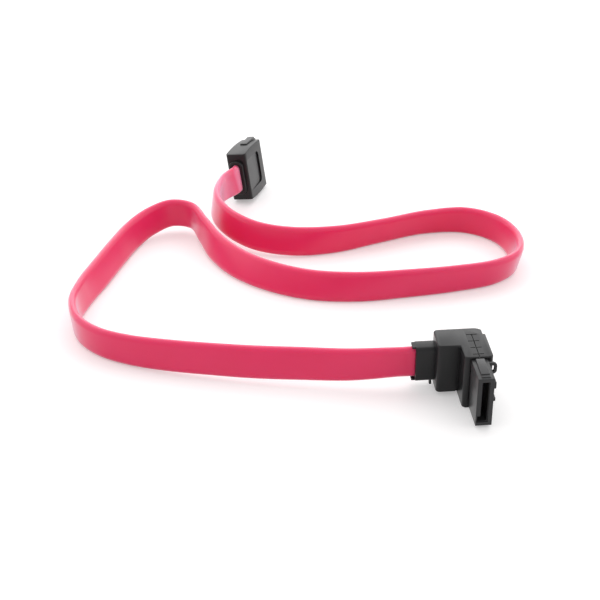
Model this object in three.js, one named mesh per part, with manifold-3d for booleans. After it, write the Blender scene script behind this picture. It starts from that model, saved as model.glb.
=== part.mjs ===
// Flat serial data cable, about half a metre long, lying on its edge in a loose loop on a table.
// A pink jacket holds two foil-wrapped wire pairs. One end has a right-angle plug, the other a straight plug.
// Millimetres, +Z up, standing on z = 0. The origin is below the middle of the box round the two plugs.

import * as THREE from "three";
import { mergeVertices } from "three/addons/utils/BufferGeometryUtils.js";
import Module from "manifold-3d";

const wasm = await Module();
wasm.setup();

// Clearances
const SEAT_GAP = 0.3; // between two pieces that meet
const SLIP = 0.15; // round a contact in its groove
const WIRE_SLIP = 0.2; // round a wire pair in the jacket or a plug
const CUT_OVER = 1; // how far a cutting body runs past the face it opens

const ARC_STEPS = 3; // facets in a rounded corner

// Flat cable
const CABLE_WIDTH = 9;
const CABLE_THICK = 2.4;
const CABLE_EDGE_RADIUS = 0.8;
const PAIR_WIDTH = 3.3;
const PAIR_THICK = 1.3;
const PAIR_PITCH = 4.1;
const CABLE_STEPS = 78;
const STRAIGHT_STEP = 9; // a step's length where the cable runs straight
const BEND_STEP = 22; // degrees bent or twisted in one step
const STATION_CLEARANCE = 1; // between a piece's end and the next step
const BEND_SAMPLES = 1500; // places where the bend is measured
const LENGTH_SAMPLES = 2000; // places where the length is measured

// Route of the cable between its plugs, chosen by hand:
// x, y, height of the lower edge above the table, lean of the upper edge to the left of the heading in degrees
const ROUTE = [
  [-0.3, -51.9, 2.2, -11],
  [-13.3, -50.5, 1.7, -17],
  [-25.3, -49, 1.2, -18],
  [-37.3, -47, 0.8, -14],
  [-49.3, -44.5, 0.4, -11],
  [-59.3, -41.5, 0.1, -5],
  [-67.7, -37.2, 0, 0],
  [-73.7, -30.6, 0, 4],
  [-76.3, -21, 0, 8],
  [-74.9, -11, 0, 16],
  [-71.6, 0.6, 0, 22],
  [-68.2, 12.4, 0, 22],
  [-64.3, 24, 0, 19],
  [-59.5, 31, 0.8, 12],
  [-53.3, 34.6, 1.8, 4],
  [-46.9, 33.2, 1.6, 1],
  [-42.9, 25.4, 0.8, 8],
  [-38.7, 16.1, 0.2, 18],
  [-31.9, 6.6, 0, 24],
  [-22.3, -1.3, 0, 21],
  [-10.3, -6.6, 0, 18],
  [3.7, -7.9, 0, 12],
  [17.7, -6, 0, 3],
  [31.7, -3.2, 0, -4],
  [43.7, 0.8, 0, -9],
  [50.2, 7, 0, -13],
  [51.5, 16.8, 0, -14],
  [47.4, 27.2, 0, -6],
  [38.1, 33.2, 0, 2],
  [25.7, 32.1, 0, 11],
  [11.7, 26.3, 0, 10],
  [-2.3, 20.8, 0, -2],
  [-15.3, 19, 0.3, -15],
  [-26.5, 21.6, 0.8, -16],
  [-34.9, 28.3, 1.6, -11],
  [-39.2, 36.5, 2.2, -9],
  [-39.5, 42.7, 3, -6],
  [-37.5, 48.2, 3.7, 2],
];

// Contact carrier, the hard moulding that goes into the drive's socket, the same on both plugs.
// It is drawn with its mating face at y = 0, looking along +Y.
const NOSE_HEIGHT = 14;
const NOSE_THICK = 4.2;
const NOSE_LENGTH = 13;
const NOSE_EDGE_RADIUS = 0.5;
const SLOT_HEIGHT = 11.6;
const SLOT_WIDTH = 1.7;
const SLOT_DEPTH = 6.5;
const KEY_REACH = 0.8;
const KEY_HEIGHT = 1.5;
const MOUTH_LIP = 0.2;
const MOUTH_DEPTH = 0.4;
const RAIL_WIDTH = 2.3;
const RAIL_ROOT = 0.6;
const ANGLE_RAIL_HEIGHT = 0.6;
const STRAIGHT_RAIL_HEIGHT = 1.6;
const RAIL_LENGTH = 8;
const RAIL_SETBACK = 0.6;
const RIB_HEIGHT = 0.7;
const RIB_SETBACK = 0.8;
const RIB_LENGTH = 6.5;
const WIDE_RIB_WIDTH = 1.9;
const WIDE_RIB_Z = 4.4;
const SLIM_RIB_WIDTH = 1;
const SLIM_RIB_Z = 0.2;
const LOOP_REACH = 2.2; // how far the pull loop stands out of the carrier's side
const LOOP_LOW = 3.5;
const LOOP_HIGH = 6.9;
const LOOP_WALL = 0.7;
const LOOP_DEPTH = 0.8;
const LOOP_SETBACK = 7.3;
const LOOP_ROOT = 0.3;

// Contacts, seven in a row
const CONTACT_COUNT = 7;
const CONTACT_PITCH = 1.27;
const CONTACT_WIDTH = 0.5;
const CONTACT_THICK = 0.25;
const CONTACT_ROW_Z = 0.8; // middle of the row above the middle of the slot, clear of the key
const CONTACT_BULGE = 0.7; // how far the spring stands out of its groove
const CONTACT_TIP_SETBACK = 1.1;
const CREST_AT = 0.6; // the spring's highest point, as a share of the way from its root to its tip
const SHOULDER_RISE = 0.75; // its bends beside the crest, as a share of the bulge
const SHOULDER_BEFORE = 0.35; // and as shares of the way back to the root
const SHOULDER_AFTER = 0.4; // and on to the tip
const TAIL_LENGTH = 1.2;

// Right-angle plug, drawn with the cable's way in at the origin, the cable running to +X and the nose to -Y
const PLUG_HEIGHT = 15.4;
const PLUG_BEVEL = 0.5;
const COLLAR_LENGTH = 5;
const COLLAR_THICK = 4.6;
const COLLAR_HEIGHT = 10.3;
const COLLAR_RADIUS = 1.1;
const EAR_LENGTH = 0.9;
const EAR_HEIGHT = 0.5;
const EAR_THICK = 2.6;
const LUG_X = 3.8; // small lug below the collar
const LUG_WIDTH = 0.6;
const LUG_BACK = -0.9;
const LUG_FRONT = -1.9;
const LUG_DROP = 1.1;
const LUG_ROOT = 0.6;
const BACK_WALL = 2.65; // cable's middle to the plug's back face
const BLOCK_FRONT = 5.6; // cable's middle to the front of the low block
const BLOCK_WIDTH = 5.8;
const BLOCK_LIFT = 1.2; // the low block's underside above the table
const HOOD_WIDTH = 7.4; // moulding round the nose
const HOOD_FRONT = 11.45;
const HOOD_RADIUS = 1.1;
const HEEL_RADIUS = 2.8; // the plug's outer corner, where the wires turn
const HEEL_STEP = 0.65; // how far that corner stays inside the hood's outer side
const HEEL_LENGTH = 3;
const ANGLE_NOSE_OUT = 9; // nose in front of the hood
const WIRE_BEND_RADIUS = 4;

// Straight plug, drawn with the cable's way in at the origin and the nose to +Y
const RING_LENGTH = 1.2;
const RING_WALL = 1.1;
const GRIP_DEPTH = 14.6;
const GRIP_BACK_THICK = 6.7;
const GRIP_FRONT_THICK = 6.2;
const GRIP_BEVEL = 0.4;
const GRIP_RADIUS = 0.9;
const GRIP_FRONT_RADIUS = 0.5;
const GRIP_CROWN = 0.5; // how far the narrow sides bulge
const STRAIGHT_NOSE_OUT = 1.8;
const PANEL_BACK = 0.9; // finger panel's margin at the back
const PANEL_FRONT = 3.3;
const PANEL_HEIGHT = 10.4;
const PANEL_DEPTH = 0.4; // at its front end, running out to nothing at its back
const PANEL_RADIUS = 1.6;

// Chamber in both mouldings where the wires meet the contacts
const CHAMBER_DEPTH = 1.6;
const CHAMBER_THICK = 3.4;

// Where the plugs lie
const ANGLE_PLUG_XY = [16.5, -51.8];
const ANGLE_PLUG_YAW = 5.5;
const STRAIGHT_PLUG_XYZ = [-33.4, 52.85, 9.2];
const STRAIGHT_PLUG_YAW = -19;
const STRAIGHT_PLUG_PITCH = -3.6;
const STRAIGHT_PLUG_ROLL = -10;

const JACKET_PINK = new THREE.MeshStandardMaterial({ color: 0xe0355f, roughness: 0.45, metalness: 0 });
const FOIL = new THREE.MeshStandardMaterial({ color: 0xc8ccd0, roughness: 0.3, metalness: 0.9 });
const CARRIER_BLACK = new THREE.MeshStandardMaterial({ color: 0x2b2b2d, roughness: 0.5, metalness: 0 });
const MOULDING_BLACK = new THREE.MeshStandardMaterial({ color: 0x333335, roughness: 0.65, metalness: 0 });
const CONTACT_GOLD = new THREE.MeshStandardMaterial({ color: 0xd9a441, roughness: 0.25, metalness: 1 });

// Solids: booleans work on closed meshes whose corners are shared

function solidFrom(geometry) {
  const bare = geometry.clone();
  bare.deleteAttribute("normal");
  bare.deleteAttribute("uv");
  const merged = mergeVertices(bare, 1e-4);
  return new wasm.Manifold(
    new wasm.Mesh({
      numProp: 3,
      vertProperties: merged.attributes.position.array,
      triVerts: new Uint32Array(merged.index.array),
    }),
  );
}

function geometryFrom(solid) {
  const mesh = solid.getMesh();
  const geometry = new THREE.BufferGeometry();
  geometry.setAttribute("position", new THREE.BufferAttribute(mesh.vertProperties.slice(), 3));
  geometry.setIndex(new THREE.BufferAttribute(mesh.triVerts.slice(), 1));
  geometry.computeVertexNormals();
  return geometry;
}

function joined(parts) {
  return parts.slice(1).reduce((all, part) => all.add(part), parts[0]);
}

function cutFrom(solid, cutters) {
  return cutters.reduce((left, cutter) => left.subtract(cutter), solid);
}

function named(name, geometry, material) {
  const mesh = new THREE.Mesh(geometry, material.clone());
  mesh.name = name;
  return mesh;
}

// A box between two corners
function block(low, high) {
  const size = high.map((value, axis) => value - low[axis]);
  const geometry = new THREE.BoxGeometry(...size);
  geometry.translate(...low.map((value, axis) => value + size[axis] / 2));
  return geometry;
}

// A closed outline through corners [x, y, radius], each rounded by its own radius
function roundedOutline(corners, Kind = THREE.Shape) {
  const outline = new Kind();
  const count = corners.length;
  corners.forEach(([x, y, radius], i) => {
    const corner = new THREE.Vector2(x, y);
    const before = new THREE.Vector2(...corners[(i + count - 1) % count]);
    const after = new THREE.Vector2(...corners[(i + 1) % count]);
    const start = corner.clone().add(before.sub(corner).setLength(radius));
    const end = corner.clone().add(after.sub(corner).setLength(radius));
    if (i === 0) outline.moveTo(start.x, start.y);
    else outline.lineTo(start.x, start.y);
    if (radius > 0) outline.quadraticCurveTo(x, y, end.x, end.y);
  });
  outline.closePath();
  return outline;
}

function roundedBox(width, height, radius, Kind = THREE.Shape) {
  const [x, y] = [width / 2, height / 2];
  return roundedOutline([[x, -y, radius], [x, y, radius], [-x, y, radius], [-x, -y, radius]], Kind);
}

// A section drawn in X and Z, swept along +Y from one station to another
function alongY(shape, from, to) {
  const geometry = new THREE.ExtrudeGeometry(shape, {
    depth: to - from,
    steps: 1,
    curveSegments: ARC_STEPS,
    bevelEnabled: false,
  });
  geometry.rotateX(Math.PI / 2);
  geometry.translate(0, to, 0);
  return geometry;
}

// A plan outline drawn in X and Y, raised from one height to another
function alongZ(shape, from, to, bevel = 0) {
  const geometry = new THREE.ExtrudeGeometry(shape, {
    depth: to - from - 2 * bevel,
    steps: 1,
    curveSegments: ARC_STEPS,
    bevelEnabled: bevel > 0,
    bevelThickness: bevel,
    bevelSize: bevel,
    bevelOffset: -bevel,
    bevelSegments: 2,
  });
  geometry.translate(0, 0, from + bevel);
  return geometry;
}

// A side outline drawn in Y and Z, widened from one X to another
function alongX(shape, from, to, bevel = 0) {
  const geometry = alongZ(shape, from, to, bevel);
  const toX = new THREE.Vector3(1, 0, 0);
  const toY = new THREE.Vector3(0, 1, 0);
  const toZ = new THREE.Vector3(0, 0, 1);
  return geometry.applyMatrix4(new THREE.Matrix4().makeBasis(toY, toZ, toX));
}

// Cable

// The cable's middle line. Its frame keeps the ribbon's width upright but for the stated lean.
// Every piece swept along it uses the same stations, so nested pieces keep their gap in the bends.
class RibbonPath extends THREE.CatmullRomCurve3 {
  constructor(stops) {
    super(stops.map((stop) => stop.at));
    this.leans = new THREE.SplineCurve(stops.map((stop, i) => new THREE.Vector2(i, stop.lean)));
    this.arcLengthDivisions = LENGTH_SAMPLES;
    this.stations = this.spreadStations();
  }

  // Lengths along the line, close together in the bends and far apart on the straights
  spreadStations() {
    const total = this.getLength();
    const effort = [0];
    const look = (i) => {
      const t = this.getUtoTmapping(i / BEND_SAMPLES);
      return { tangent: this.getTangent(t), lean: this.leans.getPoint(t).y };
    };
    for (let i = 1; i <= BEND_SAMPLES; i += 1) {
      const [here, next] = [look(i - 1), look(i)];
      const bend = THREE.MathUtils.radToDeg(here.tangent.angleTo(next.tangent));
      const twist = Math.abs(next.lean - here.lean);
      effort.push(effort[i - 1] + total / BEND_SAMPLES / STRAIGHT_STEP + (bend + twist) / BEND_STEP);
    }
    const stations = [];
    for (let step = 0; step <= CABLE_STEPS; step += 1) {
      const wanted = (effort[BEND_SAMPLES] * step) / CABLE_STEPS;
      stations.push((total * effort.findIndex((reached) => reached >= wanted)) / BEND_SAMPLES);
    }
    return stations;
  }

  // Puts a station where another piece ends
  addStation(mark) {
    const clear = this.stations.filter((length) => Math.abs(length - mark) > STATION_CLEARANCE);
    this.stations = [...clear, mark].sort((a, b) => a - b);
  }

  // Picks the stretch to sweep next and returns its number of steps
  stretch(from, to) {
    const inner = this.stations.filter((length) => length > from + SEAT_GAP && length < to - SEAT_GAP);
    this.swept = [from, ...inner, to].map((length) => this.getUtoTmapping(length / this.getLength()));
    return this.swept.length - 1;
  }

  getSpacedPoints() {
    return this.swept.map((t) => this.getPoint(t));
  }

  computeFrenetFrames() {
    const tangents = [];
    const normals = [];
    const binormals = [];
    for (const t of this.swept) {
      const tangent = this.getTangent(t);
      const left = new THREE.Vector3(0, 0, 1).cross(tangent).normalize();
      const up = tangent.clone().cross(left);
      const lean = THREE.MathUtils.degToRad(this.leans.getPoint(t).y);
      tangents.push(tangent);
      normals.push(left.clone().multiplyScalar(Math.cos(lean)).addScaledVector(up, -Math.sin(lean)));
      binormals.push(up.clone().multiplyScalar(Math.cos(lean)).addScaledVector(left, Math.sin(lean)));
    }
    return { tangents, normals, binormals };
  }
}

// The cable's section has three points at each rounded edge
function jacketSection() {
  const [x, y, r] = [CABLE_THICK / 2, CABLE_WIDTH / 2, CABLE_EDGE_RADIUS];
  const nick = r * (1 - Math.SQRT1_2);
  const corners = [[1, -1], [1, 1], [-1, 1], [-1, -1]];
  const points = corners.flatMap(([sx, sy], i) => {
    const first = new THREE.Vector2(sx * x, sy * (y - r));
    const middle = new THREE.Vector2(sx * (x - nick), sy * (y - nick));
    const last = new THREE.Vector2(sx * (x - r), sy * y);
    return i % 2 ? [first, middle, last] : [last, middle, first];
  });
  return new THREE.Shape(points);
}

// A wire pair's section: two round wires side by side under one foil, eight points
function pairSection(offset, grow, Kind = THREE.Shape) {
  const [x, y] = [PAIR_THICK / 2 + grow, PAIR_WIDTH / 2 + grow];
  const cut = PAIR_THICK / 4;
  return new Kind(
    [
      [x, cut - y], [x, y - cut], [x - cut, y], [cut - x, y],
      [-x, y - cut], [-x, cut - y], [cut - x, -y], [x - cut, -y],
    ].map((point) => new THREE.Vector2(point[0], point[1] + offset)),
  );
}

function swept(shape, path, from, to) {
  return new THREE.ExtrudeGeometry(shape, { steps: path.stretch(from, to), extrudePath: path });
}

const PAIR_OFFSETS = [-PAIR_PITCH / 2, PAIR_PITCH / 2];

// Contact carrier and contacts

function slotOutline(grow) {
  const [x, z] = [SLOT_WIDTH / 2 + grow, SLOT_HEIGHT / 2 + grow];
  const keyTop = grow + KEY_HEIGHT - SLOT_HEIGHT / 2;
  return new THREE.Shape(
    [[-x, -z], [x + KEY_REACH, -z], [x + KEY_REACH, keyTop], [x, keyTop], [x, z], [-x, z]].map(
      (point) => new THREE.Vector2(...point),
    ),
  );
}

function contactHeight(index) {
  return CONTACT_ROW_Z + (index - (CONTACT_COUNT - 1) / 2) * CONTACT_PITCH;
}

// Middle of a contact's strip where it lies in its groove
const CONTACT_SEAT_X = SLOT_WIDTH / 2 + SLIP + CONTACT_THICK / 2;
const GROOVE_FLOOR_X = CONTACT_SEAT_X + CONTACT_THICK / 2 + SLIP;
const GROOVE_INNER_X = CONTACT_SEAT_X - CONTACT_THICK / 2 - SLIP;

function contactGroove(index) {
  const halfWidth = CONTACT_WIDTH / 2 + SLIP;
  const z = contactHeight(index);
  return solidFrom(
    block(
      [GROOVE_INNER_X, -NOSE_LENGTH - CUT_OVER, z - halfWidth],
      [GROOVE_FLOOR_X, SLIP * 2 - CONTACT_TIP_SETBACK, z + halfWidth],
    ),
  );
}

// A small loop on one wide side, for easing the plug out
function pullLoop() {
  const flank = -NOSE_THICK / 2;
  const [outer, inner] = [flank - LOOP_REACH, flank + LOOP_ROOT];
  const round = LOOP_REACH / 2;
  const outline = roundedOutline([
    [inner, LOOP_HIGH, 0],
    [outer, LOOP_HIGH, round],
    [outer, LOOP_LOW, round],
    [inner, LOOP_LOW, 0],
  ]);
  const eye = roundedOutline(
    [
      [flank, LOOP_HIGH - LOOP_WALL, 0],
      [outer + LOOP_WALL, LOOP_HIGH - LOOP_WALL, round - LOOP_WALL],
      [outer + LOOP_WALL, LOOP_LOW + LOOP_WALL, round - LOOP_WALL],
      [flank, LOOP_LOW + LOOP_WALL, 0],
    ],
    THREE.Path,
  );
  outline.holes = [eye];
  return alongY(outline, -LOOP_SETBACK - LOOP_DEPTH, -LOOP_SETBACK);
}

function carrierGeometry(railHeight, withGrips) {
  const core = alongY(roundedBox(NOSE_THICK, NOSE_HEIGHT, NOSE_EDGE_RADIUS), -NOSE_LENGTH, 0);
  const rail = block(
    [-RAIL_WIDTH / 2, -RAIL_SETBACK - RAIL_LENGTH, NOSE_HEIGHT / 2 - RAIL_ROOT],
    [RAIL_WIDTH / 2, -RAIL_SETBACK, NOSE_HEIGHT / 2 + railHeight],
  );
  const rib = (width, z) => {
    const flank = -NOSE_THICK / 2;
    return block(
      [flank - RIB_HEIGHT, -RIB_SETBACK - RIB_LENGTH, z - width / 2],
      [flank + RIB_HEIGHT, -RIB_SETBACK, z + width / 2],
    );
  };
  const added = [core, rail];
  if (withGrips) added.push(rib(WIDE_RIB_WIDTH, WIDE_RIB_Z), rib(SLIM_RIB_WIDTH, SLIM_RIB_Z), pullLoop());
  const slot = alongY(slotOutline(0), -SLOT_DEPTH, CUT_OVER);
  const mouth = alongY(slotOutline(MOUTH_LIP), -MOUTH_DEPTH, CUT_OVER);
  const grooves = Array.from({ length: CONTACT_COUNT }, (_, index) => contactGroove(index));
  return geometryFrom(cutFrom(joined(added.map(solidFrom)), [solidFrom(slot), solidFrom(mouth), ...grooves]));
}

// A strip of even thickness along a line of points in X and Y
function stripOutline(points, thick) {
  const line = points.map((point) => new THREE.Vector2(...point));
  const side = (sign) =>
    line.map((point, i) => {
      const before = line[Math.max(i - 1, 0)];
      const after = line[Math.min(i + 1, line.length - 1)];
      const along = after.clone().sub(before).normalize();
      return point.clone().add(new THREE.Vector2(along.y, -along.x).multiplyScalar((sign * thick) / 2));
    });
  return new THREE.Shape([...side(1), ...side(-1).reverse()]);
}

// A contact runs from its soldered tail along the groove, bows out into the slot and ends back in the groove
function contactGeometry(index) {
  const root = -SLOT_DEPTH + CONTACT_WIDTH;
  const tip = -CONTACT_TIP_SETBACK;
  const crest = root + (tip - root) * CREST_AT;
  const shoulder = CONTACT_BULGE * SHOULDER_RISE;
  const line = [
    [CONTACT_SEAT_X, -NOSE_LENGTH - TAIL_LENGTH],
    [CONTACT_SEAT_X, root],
    [CONTACT_SEAT_X - shoulder, crest - (crest - root) * SHOULDER_BEFORE],
    [CONTACT_SEAT_X - CONTACT_BULGE, crest],
    [CONTACT_SEAT_X - shoulder, crest + (tip - crest) * SHOULDER_AFTER],
    [CONTACT_SEAT_X, tip],
  ];
  const z = contactHeight(index);
  return alongZ(stripOutline(line, CONTACT_THICK), z - CONTACT_WIDTH / 2, z + CONTACT_WIDTH / 2);
}

function connector(prefix, railHeight, withGrips) {
  const group = new THREE.Group();
  group.add(named(`${prefix}_contact_carrier`, carrierGeometry(railHeight, withGrips), CARRIER_BLACK));
  for (let index = 0; index < CONTACT_COUNT; index += 1) {
    group.add(named(`${prefix}_contact_${index + 1}`, contactGeometry(index), CONTACT_GOLD));
  }
  return group;
}

// Room for the carrier's back end and for the soldered tails, drawn in the connector's own frame
function carrierPocket() {
  const pocket = alongY(
    roundedBox(NOSE_THICK + 2 * SEAT_GAP, NOSE_HEIGHT + 2 * SEAT_GAP, NOSE_EDGE_RADIUS),
    -NOSE_LENGTH - SEAT_GAP,
    CUT_OVER,
  );
  const chamber = alongY(
    roundedBox(CHAMBER_THICK, SLOT_HEIGHT, NOSE_EDGE_RADIUS),
    -NOSE_LENGTH - SEAT_GAP - CHAMBER_DEPTH,
    -NOSE_LENGTH,
  );
  return solidFrom(pocket).add(solidFrom(chamber));
}

// Notch that lets the carrier's rail out of the moulding
function railNotch() {
  return solidFrom(
    block(
      [-RAIL_WIDTH / 2 - SEAT_GAP, -RAIL_SETBACK - RAIL_LENGTH - SEAT_GAP, 0],
      [RAIL_WIDTH / 2 + SEAT_GAP, CUT_OVER, PLUG_HEIGHT],
    ),
  );
}

// Right-angle plug

const HOOD_MIDDLE_X = COLLAR_LENGTH + BLOCK_WIDTH + HOOD_WIDTH / 2;
const ANGLE_MATING_Y = -HOOD_FRONT - ANGLE_NOSE_OUT;
const ANGLE_CARRIER_BACK_Y = ANGLE_MATING_Y + NOSE_LENGTH;
const WIRE_END_BEHIND = 2 * SEAT_GAP; // wires stop this far behind the carrier, beside the tails

// Turns a solid drawn in the connector's frame into the right-angle plug's frame
function toAngleNose(solid) {
  return solid.rotate([0, 0, 180]).translate([HOOD_MIDDLE_X, ANGLE_MATING_Y, 0]);
}

function angleMoulding(wireWay) {
  const [left, right] = [COLLAR_LENGTH, COLLAR_LENGTH + BLOCK_WIDTH + HOOD_WIDTH];
  const hoodLeft = right - HOOD_WIDTH;
  const collar = roundedBox(COLLAR_THICK, COLLAR_HEIGHT, COLLAR_RADIUS);
  const collarGeometry = alongY(collar, 0, left + HOOD_RADIUS).rotateZ(-Math.PI / 2);
  const ears = [-1, 1].map((side) => {
    const outer = (side * COLLAR_HEIGHT) / 2;
    const inner = outer - side * EAR_HEIGHT;
    const [low, high] = [Math.min(outer, inner), Math.max(outer, inner)];
    return solidFrom(block([-EAR_LENGTH, -EAR_THICK / 2, low], [EAR_HEIGHT, EAR_THICK / 2, high]));
  });
  const lug = block(
    [LUG_X, LUG_FRONT, -COLLAR_HEIGHT / 2 - LUG_DROP],
    [LUG_X + LUG_WIDTH, LUG_BACK, LUG_ROOT - COLLAR_HEIGHT / 2],
  );
  const low = roundedOutline([
    [left, -BLOCK_FRONT, HOOD_RADIUS],
    [hoodLeft + HOOD_RADIUS * 2, -BLOCK_FRONT, 0],
    [hoodLeft + HOOD_RADIUS * 2, BACK_WALL, 0],
    [left, BACK_WALL, HOOD_RADIUS],
  ]);
  const hood = roundedOutline([
    [hoodLeft, -HOOD_FRONT, HOOD_RADIUS],
    [right, -HOOD_FRONT, HOOD_RADIUS],
    [right, BACK_WALL, HEEL_RADIUS],
    [hoodLeft, BACK_WALL, 0],
  ]);
  const half = PLUG_HEIGHT / 2;
  const heel = block(
    [right - HEEL_STEP, BACK_WALL - HEEL_LENGTH, -PLUG_HEIGHT],
    [right + CUT_OVER, BACK_WALL + CUT_OVER, PLUG_HEIGHT],
  );
  const body = joined([
    solidFrom(alongZ(hood, -half, half, PLUG_BEVEL)).subtract(solidFrom(heel)),
    solidFrom(alongZ(low, -half + BLOCK_LIFT, half, PLUG_BEVEL)),
    solidFrom(collarGeometry),
    solidFrom(lug),
    ...ears,
  ]);
  return geometryFrom(cutFrom(body, [toAngleNose(carrierPocket()), ...wireWay]));
}

// The wires turn from the cable's line into the nose's line, in the plug's frame
function angleWireStops() {
  const end = ANGLE_CARRIER_BACK_Y + WIRE_END_BEHIND;
  const r = WIRE_BEND_RADIUS;
  const bend = r * (1 - Math.SQRT1_2);
  return [
    [HOOD_MIDDLE_X, end],
    [HOOD_MIDDLE_X, (end - r) / 2],
    [HOOD_MIDDLE_X, -r],
    [HOOD_MIDDLE_X - bend, -bend],
    [HOOD_MIDDLE_X - r, 0],
    [(HOOD_MIDDLE_X - r) / 2, 0],
    [0, 0],
    [-COLLAR_LENGTH, 0],
  ];
}

// Straight plug

const GRIP_BACK_Y = RING_LENGTH;
const GRIP_FRONT_Y = GRIP_BACK_Y + GRIP_DEPTH;
const STRAIGHT_MATING_Y = GRIP_FRONT_Y + STRAIGHT_NOSE_OUT;
const STRAIGHT_WIRE_END_Y = STRAIGHT_MATING_Y - NOSE_LENGTH - WIRE_END_BEHIND;

// The grip tapers in thickness, and its narrow sides bulge a little
function straightGrip() {
  const plan = roundedOutline([
    [-GRIP_BACK_THICK / 2, GRIP_BACK_Y, GRIP_RADIUS],
    [GRIP_BACK_THICK / 2, GRIP_BACK_Y, GRIP_RADIUS],
    [GRIP_FRONT_THICK / 2, GRIP_FRONT_Y, GRIP_FRONT_RADIUS],
    [-GRIP_FRONT_THICK / 2, GRIP_FRONT_Y, GRIP_FRONT_RADIUS],
  ]);
  const [half, middle] = [PLUG_HEIGHT / 2, (GRIP_BACK_Y + GRIP_FRONT_Y) / 2];
  const crown = half + 2 * GRIP_CROWN;
  const side = new THREE.Shape();
  side.moveTo(GRIP_BACK_Y, -half);
  side.quadraticCurveTo(middle, -crown, GRIP_FRONT_Y, -half);
  side.lineTo(GRIP_FRONT_Y, half);
  side.quadraticCurveTo(middle, crown, GRIP_BACK_Y, half);
  side.closePath();
  const widened = alongX(side, -GRIP_BACK_THICK / 2, GRIP_BACK_THICK / 2, GRIP_BEVEL);
  return solidFrom(alongZ(plan, -crown, crown)).intersect(solidFrom(widened));
}

function straightMoulding(wireWay) {
  const ring = solidFrom(
    alongY(
      roundedBox(CABLE_THICK + 2 * RING_WALL, CABLE_WIDTH + 2 * RING_WALL, CABLE_EDGE_RADIUS + RING_WALL),
      0,
      GRIP_BACK_Y + GRIP_BEVEL,
    ),
  );
  const nose = carrierPocket().add(railNotch()).translate([0, STRAIGHT_MATING_Y, 0]);
  return geometryFrom(cutFrom(straightGrip().add(ring), [nose, ...[-1, 1].map(fingerPanel), ...wireWay]));
}

// Finger panel in a wide side: its floor sinks from nothing at the back to its full depth at the front
function fingerPanel(side) {
  const [back, front] = [GRIP_BACK_Y + PANEL_BACK, GRIP_FRONT_Y - PANEL_FRONT];
  const sideAt = (y) =>
    THREE.MathUtils.mapLinear(y, GRIP_BACK_Y, GRIP_FRONT_Y, GRIP_BACK_THICK, GRIP_FRONT_THICK) / 2;
  const wedge = roundedOutline([
    [sideAt(back), back, 0],
    [GRIP_BACK_THICK, back, 0],
    [GRIP_BACK_THICK, front, 0],
    [sideAt(front) - PANEL_DEPTH, front, 0],
  ]);
  const prism = alongX(roundedBox(front - back, PANEL_HEIGHT, PANEL_RADIUS), 0, GRIP_BACK_THICK);
  prism.translate(0, (back + front) / 2, 0);
  const panel = solidFrom(alongZ(wedge, -PLUG_HEIGHT / 2, PLUG_HEIGHT / 2)).intersect(solidFrom(prism));
  return side > 0 ? panel : panel.mirror([1, 0, 0]);
}

// The wires run straight from the cable into the grip, in the plug's frame
function straightWireStops() {
  return [
    [0, -RING_LENGTH],
    [0, RING_LENGTH],
    [0, STRAIGHT_WIRE_END_Y],
  ];
}

// Assembly

const anglePlug = new THREE.Group();
anglePlug.position.set(...ANGLE_PLUG_XY, PLUG_HEIGHT / 2);
anglePlug.rotation.z = THREE.MathUtils.degToRad(ANGLE_PLUG_YAW);

const straightPlug = new THREE.Group();
straightPlug.position.set(...STRAIGHT_PLUG_XYZ);
straightPlug.rotation.set(
  THREE.MathUtils.degToRad(STRAIGHT_PLUG_PITCH),
  THREE.MathUtils.degToRad(STRAIGHT_PLUG_ROLL),
  THREE.MathUtils.degToRad(STRAIGHT_PLUG_YAW),
  "ZXY",
);
anglePlug.updateMatrixWorld(true);
straightPlug.updateMatrixWorld(true);

function stopsInPlug(plug, points, lean) {
  return points.map(([x, y]) => ({ at: new THREE.Vector3(x, y, 0).applyMatrix4(plug.matrixWorld), lean }));
}

// Height of the ribbon's middle over its lower edge when it leans
function middleHeight(lean) {
  const angle = THREE.MathUtils.degToRad(lean);
  const r = CABLE_EDGE_RADIUS;
  return (CABLE_WIDTH / 2 - r) * Math.cos(angle) + (CABLE_THICK / 2 - r) * Math.abs(Math.sin(angle)) + r;
}

const routeStops = ROUTE.map(([x, y, lift, lean]) => ({
  at: new THREE.Vector3(x, y, lift + middleHeight(lean)),
  lean,
}));
const path = new RibbonPath([
  ...stopsInPlug(anglePlug, angleWireStops(), 0),
  ...routeStops,
  ...stopsInPlug(straightPlug, straightWireStops(), -STRAIGHT_PLUG_ROLL),
]);

// Length along the path of the way into a plug, found where the path passes the plug's origin
function lengthNear(point) {
  const lengths = path.getLengths();
  const count = lengths.length - 1;
  let best = 0;
  for (let i = 1; i <= count; i += 1) {
    const nearer = path.getPoint(i / count).distanceTo(point) < path.getPoint(best / count).distanceTo(point);
    if (nearer) best = i;
  }
  return lengths[best];
}

const jacketStart = lengthNear(anglePlug.position) + SEAT_GAP;
const jacketEnd = lengthNear(straightPlug.position) - SEAT_GAP;
const wireEnd = path.getLength();
path.addStation(jacketStart);
path.addStation(jacketEnd);

function jacketGeometry() {
  const section = jacketSection();
  section.holes = PAIR_OFFSETS.map((offset) => pairSection(offset, WIRE_SLIP, THREE.Path));
  return swept(section, path, jacketStart, jacketEnd);
}

// The ways for the wires are swept like the wires, a little larger, and brought into the plug's frame
function wireWays(plug, from, to) {
  const inverse = plug.matrixWorld.clone().invert();
  return PAIR_OFFSETS.map((offset) =>
    solidFrom(swept(pairSection(offset, WIRE_SLIP), path, from, to).applyMatrix4(inverse)),
  );
}

const angleNose = connector("angle", ANGLE_RAIL_HEIGHT, true);
angleNose.rotation.z = Math.PI;
angleNose.position.set(HOOD_MIDDLE_X, ANGLE_MATING_Y, 0);
anglePlug.add(
  named("angle_plug_moulding", angleMoulding(wireWays(anglePlug, 0, jacketStart + CUT_OVER)), MOULDING_BLACK),
  angleNose,
);

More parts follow.
